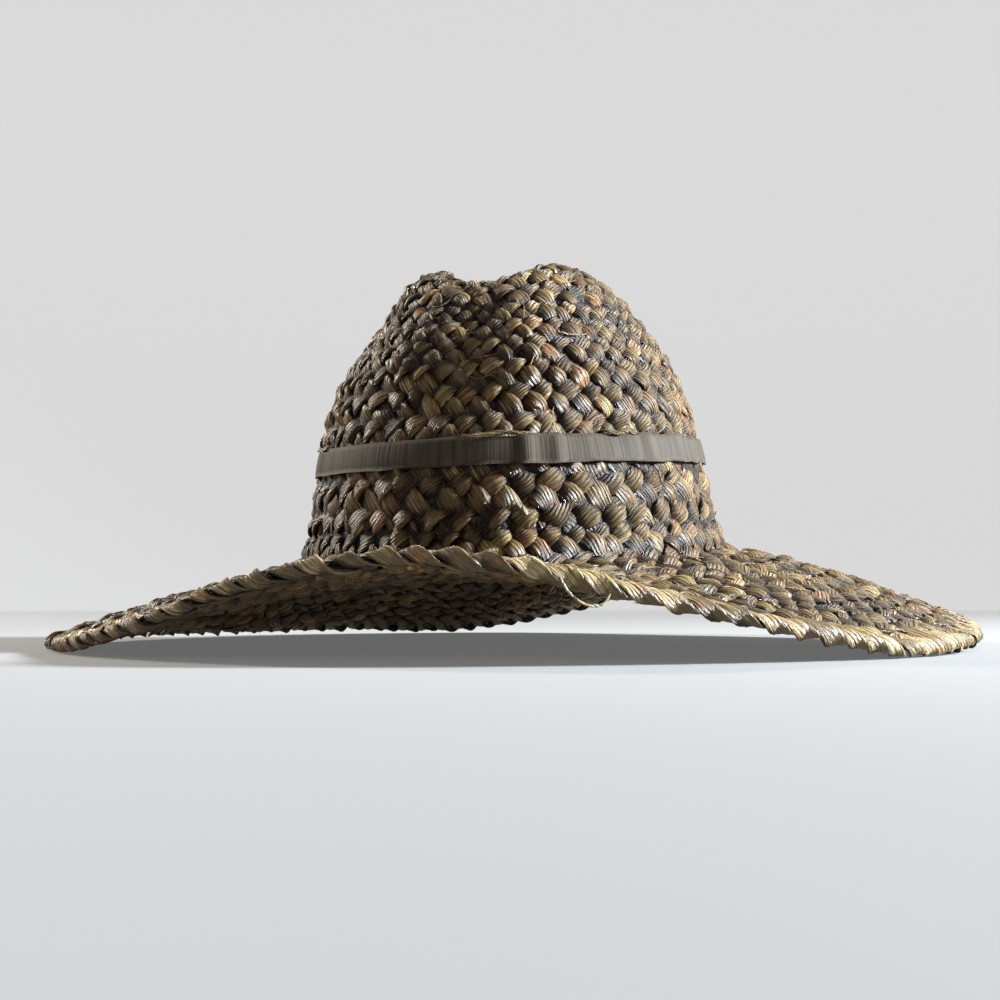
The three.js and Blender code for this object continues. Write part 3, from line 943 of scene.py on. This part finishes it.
# Where each slack strand starts and ends, in degrees from the wearer's left side.
SLACK_STRANDS = np.radians([(-91, -68), (-50, -38), (14, 27), (69, 86), (143, 158), (207, 222)])
SLACK_HALF_WIDTH = 0.0010
SLACK_HALF_DEPTH = 0.00035
SLACK_ROOT_DEPTH = 0.0012
SLACK_LIFT = 0.0014
SLACK_LENGTH = 0.03

HANGING_LOOP_START = math.radians(-73.0)
HANGING_LOOP_END = math.radians(-68.4)
HANGING_LOOP_DROP = 0.0062
HANGING_LOOP_RADIUS = 0.00021


def loose_grid(face, count, first, last, side, rng):
    """Fine fibres scattered over a face; side is 1 on the outer face and -1 on the inner one."""
    share = np.linspace(0.0, 1.0, 14)
    base_angle = rng.uniform(0, TURN, (count, 1))
    base_travel = rng.uniform(first, last, (count, 1))
    run = rng.uniform(*LOOSE_LENGTHS, (count, 1)) * share
    heading = rng.uniform(0, TURN, (count, 1)) + rng.normal(0, 1.1, (count, 1)) * share
    around = np.linalg.norm(face(base_angle, base_travel)[..., :2], axis=-1)
    angle = base_angle + run * np.cos(heading) / around
    travel = np.clip(base_travel + run * np.sin(heading), first, last)
    rise = rng.uniform(*LOOSE_RISES, (count, 1))
    closes = rng.uniform(0, 1, (count, 1)) < LOOSE_CLOSED_SHARE
    arc = np.where(closes, np.sin(math.pi * share), np.sin(math.pi / 2 * share) * 0.9)
    lift = STRAND_WAVE + STRAND_DEPTH / 2 - LOOSE_ROOT_DEPTH + rise * arc
    normal = outward(face, angle, travel)
    centre = face(angle, travel) + normal * (side * lift - WALL / 2)[..., None]
    radius = rng.uniform(*LOOSE_RADII, (count, 1)) * (0.45 + 0.55 * np.sin(math.pi * share) ** 0.5)
    even, ridges = np.zeros(angle.shape), np.zeros((*angle.shape, 6))
    tone = rng.normal(0.5, 0.6, (count, 1)) + even
    level = even + side * FIBRE_LEVEL
    return lay_strands(
        centre, normal, radius * 1.5, radius, even, ridges, run * 2, tone, level, FIBRE_LEVEL_SCALE,
    )


def slack_grid(rng):
    share = np.linspace(0.0, 1.0, 40)[None, :]
    start, end = SLACK_STRANDS[:, :1], SLACK_STRANDS[:, 1:]
    angle = start + (end - start) * share
    ends = ease(np.minimum(share, 1 - share) / 0.16)
    sway = 0.0005 * np.sin(TURN * 1.5 * share + rng.uniform(0, TURN, (len(angle), 1)))
    rise = 0.0016 * (1 - ends) + sway
    travel = travel_at_height(RIBBON_HEIGHTS[1] + 0.0002 + rise)
    normal = outward(crown_face, angle, travel)
    lift = (RIBBON_CLEARANCE + RIBBON_THICKNESS + SLACK_HALF_DEPTH + SLACK_LIFT) * ends
    centre = crown_face(angle, travel) + normal * (lift - SLACK_ROOT_DEPTH)[..., None]
    half_width = SLACK_HALF_WIDTH * (0.5 + 0.5 * ends) * (1 + 0.2 * np.sin(9 * share + angle))
    half_depth = np.full(angle.shape, SLACK_HALF_DEPTH)
    ridges = blade_ridges(rng, len(angle), share[0] * 6, 0.1, 8)
    twist = 0.5 * np.sin(7 * share + rng.uniform(0, TURN, (len(angle), 1)))
    tone = rng.normal(0.4, 0.3, (len(angle), 1)) + 0 * angle
    level = np.full(angle.shape, 0.0022)
    along = share * SLACK_LENGTH
    return lay_strands(
        centre, normal, half_width, half_depth, twist, ridges, along, tone, level, FIBRE_LEVEL_SCALE,
    )


def hanging_loop_grid():
    share = np.linspace(0.0, 1.0, 26)[None, :]
    swung = share - 0.10 * np.sin(TURN * share)
    angle = HANGING_LOOP_START + (HANGING_LOOP_END - HANGING_LOOP_START) * swung
    rim = brim_face(angle, np.full(angle.shape, BRIM_WIDTH))
    rim_way = unit(rim * np.array([1.0, 1.0, 0.0]))
    hang = np.sin(math.pi * share)
    centre = rim - rim_way * 0.0006 + rim_way * 0.0016 * hang[..., None]
    centre[..., 2] -= 0.0022 + HANGING_LOOP_DROP * hang**1.4 * (0.8 + 0.35 * share)
    radius = np.full(angle.shape, HANGING_LOOP_RADIUS)
    even, ridges = np.zeros(angle.shape), np.zeros((*angle.shape, 8))
    tone, level = even + 1.4, even + FIBRE_LEVEL
    along = share * SLACK_LENGTH
    return lay_strands(
        centre, rim_way, radius * 1.8, radius, even, ridges, along, tone, level, FIBRE_LEVEL_SCALE,
    )


loose_rng = np.random.default_rng(53)
loose_grids = [
    loose_grid(crown_face, LOOSE_ON_CROWN, travel_at_height(0.112), travel_at_height(0.005), 1, loose_rng),
    loose_grid(hat_face, LOOSE_ON_BRIM, 0.004, BRIM_WIDTH - 0.006, 1, loose_rng),
    loose_grid(hat_face, LOOSE_ON_BRIM, 0.004, BRIM_WIDTH - 0.006, -1, loose_rng),
]
strand_piece("loose_fibres", loose_grids, crown_straw)
strand_piece("slack_strands_on_ribbon", [slack_grid(loose_rng)], crown_straw)
strand_piece("hanging_fibre_loop", [hanging_loop_grid()], edge_straw)


# Floor, light and camera: a round sheet of pale paper that curves up all round, soft studio
# lamps, and the photo's direction. The paper glows more the farther it is from the hat, so that
# it stays pale behind it from every side.
FLOOR_RADIUS = 1.8
SWEEP_RADIUS = 1.0
SWEEP_TOP = 1.6
SWEEP_COLUMNS = 96
PAPER_COLOUR = (0.225, 0.225, 0.222)
GLOW_START = 0.35
GLOW_END = 1.9
# Near the hat the paper glows too, which lifts the hat's shadow and lights the brim's under side: painted
# light.
NEAR_GLOW = 0.13
FAR_GLOW = 0.60
ROOM_COLOUR = (0.95, 0.97, 1.0)
ROOM_LIGHT = 0.08


def sweep_round():
    rise = [
        (FLOOR_RADIUS + SWEEP_RADIUS * math.sin(a), SWEEP_RADIUS - SWEEP_RADIUS * math.cos(a))
        for a in np.linspace(0, math.pi / 2, 16)
    ]
    flat = [(GLOW_START, 0.0), (FLOOR_RADIUS / 2, 0.0)]
    profile = flat + rise + [(FLOOR_RADIUS + SWEEP_RADIUS, SWEEP_TOP)]
    rows = len(profile)
    vertices = [(0.0, 0.0, 0.0)]
    faces = []
    for column in range(SWEEP_COLUMNS):
        turn = TURN * column / SWEEP_COLUMNS
        vertices += [(r * math.cos(turn), r * math.sin(turn), z) for r, z in profile]
        here = 1 + column * rows
        there = 1 + (column + 1) % SWEEP_COLUMNS * rows
        faces.append((0, here, there))
        faces += [(here + k, here + k + 1, there + k + 1, there + k) for k in range(rows - 1)]
    mesh = bpy.data.meshes.new("pale_sweep")
    mesh.from_pydata(vertices, [], faces)
    for polygon in mesh.polygons:
        polygon.use_smooth = True
    return bpy.data.objects.new("pale_sweep", mesh)


def pale_paper():
    paper = bpy.data.materials.new("pale_paper")
    paper.use_nodes = True
    nodes, links = paper.node_tree.nodes, paper.node_tree.links
    shader = nodes["Principled BSDF"]
    shader.inputs["Base Color"].default_value = (*PAPER_COLOUR, 1)
    shader.inputs["Roughness"].default_value = 0.9
    shader.inputs["Specular IOR Level"].default_value = 0.1
    shader.inputs["Emission Color"].default_value = (1.0, 1.0, 1.0, 1)
    place = nodes.new("ShaderNodeTexCoord")
    reach = nodes.new("ShaderNodeVectorMath")
    reach.operation = "LENGTH"
    glow = nodes.new("ShaderNodeMapRange")
    glow.interpolation_type = "SMOOTHSTEP"
    glow.inputs["From Min"].default_value = GLOW_START
    glow.inputs["From Max"].default_value = GLOW_END
    glow.inputs["To Min"].default_value = NEAR_GLOW
    glow.inputs["To Max"].default_value = FAR_GLOW
    links.new(place.outputs["Object"], reach.inputs[0])
    links.new(reach.outputs["Value"], glow.inputs["Value"])
    links.new(glow.outputs["Result"], shader.inputs["Emission Strength"])
    paper.cycles.emission_sampling = "NONE"
    return paper


sweep = sweep_round()
sweep.data.materials.append(pale_paper())
bpy.context.collection.objects.link(sweep)

world = bpy.data.worlds.new("studio")
world.use_nodes = True
world.node_tree.nodes["Background"].inputs["Color"].default_value = (*ROOM_COLOUR, 1)
world.node_tree.nodes["Background"].inputs["Strength"].default_value = ROOM_LIGHT
bpy.context.scene.world = world
bpy.context.scene.view_settings.view_transform = "Standard"

WARM_WHITE = (1.0, 0.92, 0.80)
LAMP_WHITE = (1.0, 0.95, 0.88)
COOL_WHITE = (0.86, 0.93, 1.0)
LOW_WARM_WHITE = (1.0, 0.88, 0.72)


def soft_light(name, place, aim_height, size, power, colour, spread):
    light = bpy.data.lights.new(name, "AREA")
    light.shape = "DISK"
    light.size = size
    light.energy = power
    light.color = colour
    light.spread = math.radians(spread)
    lamp = bpy.data.objects.new(name, light)
    lamp.location = place
    way = Vector((0, 0, aim_height)) - Vector(place)
    lamp.rotation_euler = way.to_track_quat("-Z", "Y").to_euler()
    bpy.context.collection.objects.link(lamp)


soft_light("left_light", (-1.6, 0.6, 1.0), 0.05, size=0.36, power=8, colour=WARM_WHITE, spread=80)
soft_light("cool_right_light", (1.9, 0.3, 0.84), 0.05, size=0.36, power=50, colour=COOL_WHITE, spread=80)
soft_light("top_light", (0.1, 0.3, 1.7), 0.08, size=0.3, power=5, colour=LAMP_WHITE, spread=180)
soft_light("low_front_fill", (0.1, -1.7, 0.6), 0.04, size=0.4, power=0.5, colour=LOW_WARM_WHITE, spread=80)

CAMERA_AZIMUTH = math.radians(12)
CAMERA_DISTANCE = 0.62
CAMERA_HEIGHT = 0.02
IMAGE_WIDTH = 1000
FOCAL_PIXELS = 1500
OPENING_IN_IMAGE = (516, 560)

camera_data = bpy.data.cameras.new("camera")
camera_data.sensor_width = 36.0
camera_data.clip_start = 0.01
camera_data.lens = FOCAL_PIXELS / IMAGE_WIDTH * camera_data.sensor_width
camera = bpy.data.objects.new("camera", camera_data)
camera.location = (
    HAT_PLACE[0] + CAMERA_DISTANCE * math.sin(CAMERA_AZIMUTH),
    HAT_PLACE[1] - CAMERA_DISTANCE * math.cos(CAMERA_AZIMUTH),
    CAMERA_HEIGHT,
)
towards_opening = math.atan2(HAT_PLACE[2] - CAMERA_HEIGHT, CAMERA_DISTANCE)
turn_right = math.atan((OPENING_IN_IMAGE[0] - IMAGE_WIDTH / 2) / FOCAL_PIXELS)
turn_up = math.atan((OPENING_IN_IMAGE[1] - IMAGE_WIDTH / 2) / FOCAL_PIXELS)
camera.rotation_euler = (math.pi / 2 + towards_opening + turn_up, 0, CAMERA_AZIMUTH + turn_right)
bpy.context.collection.objects.link(camera)
bpy.context.scene.camera = camera
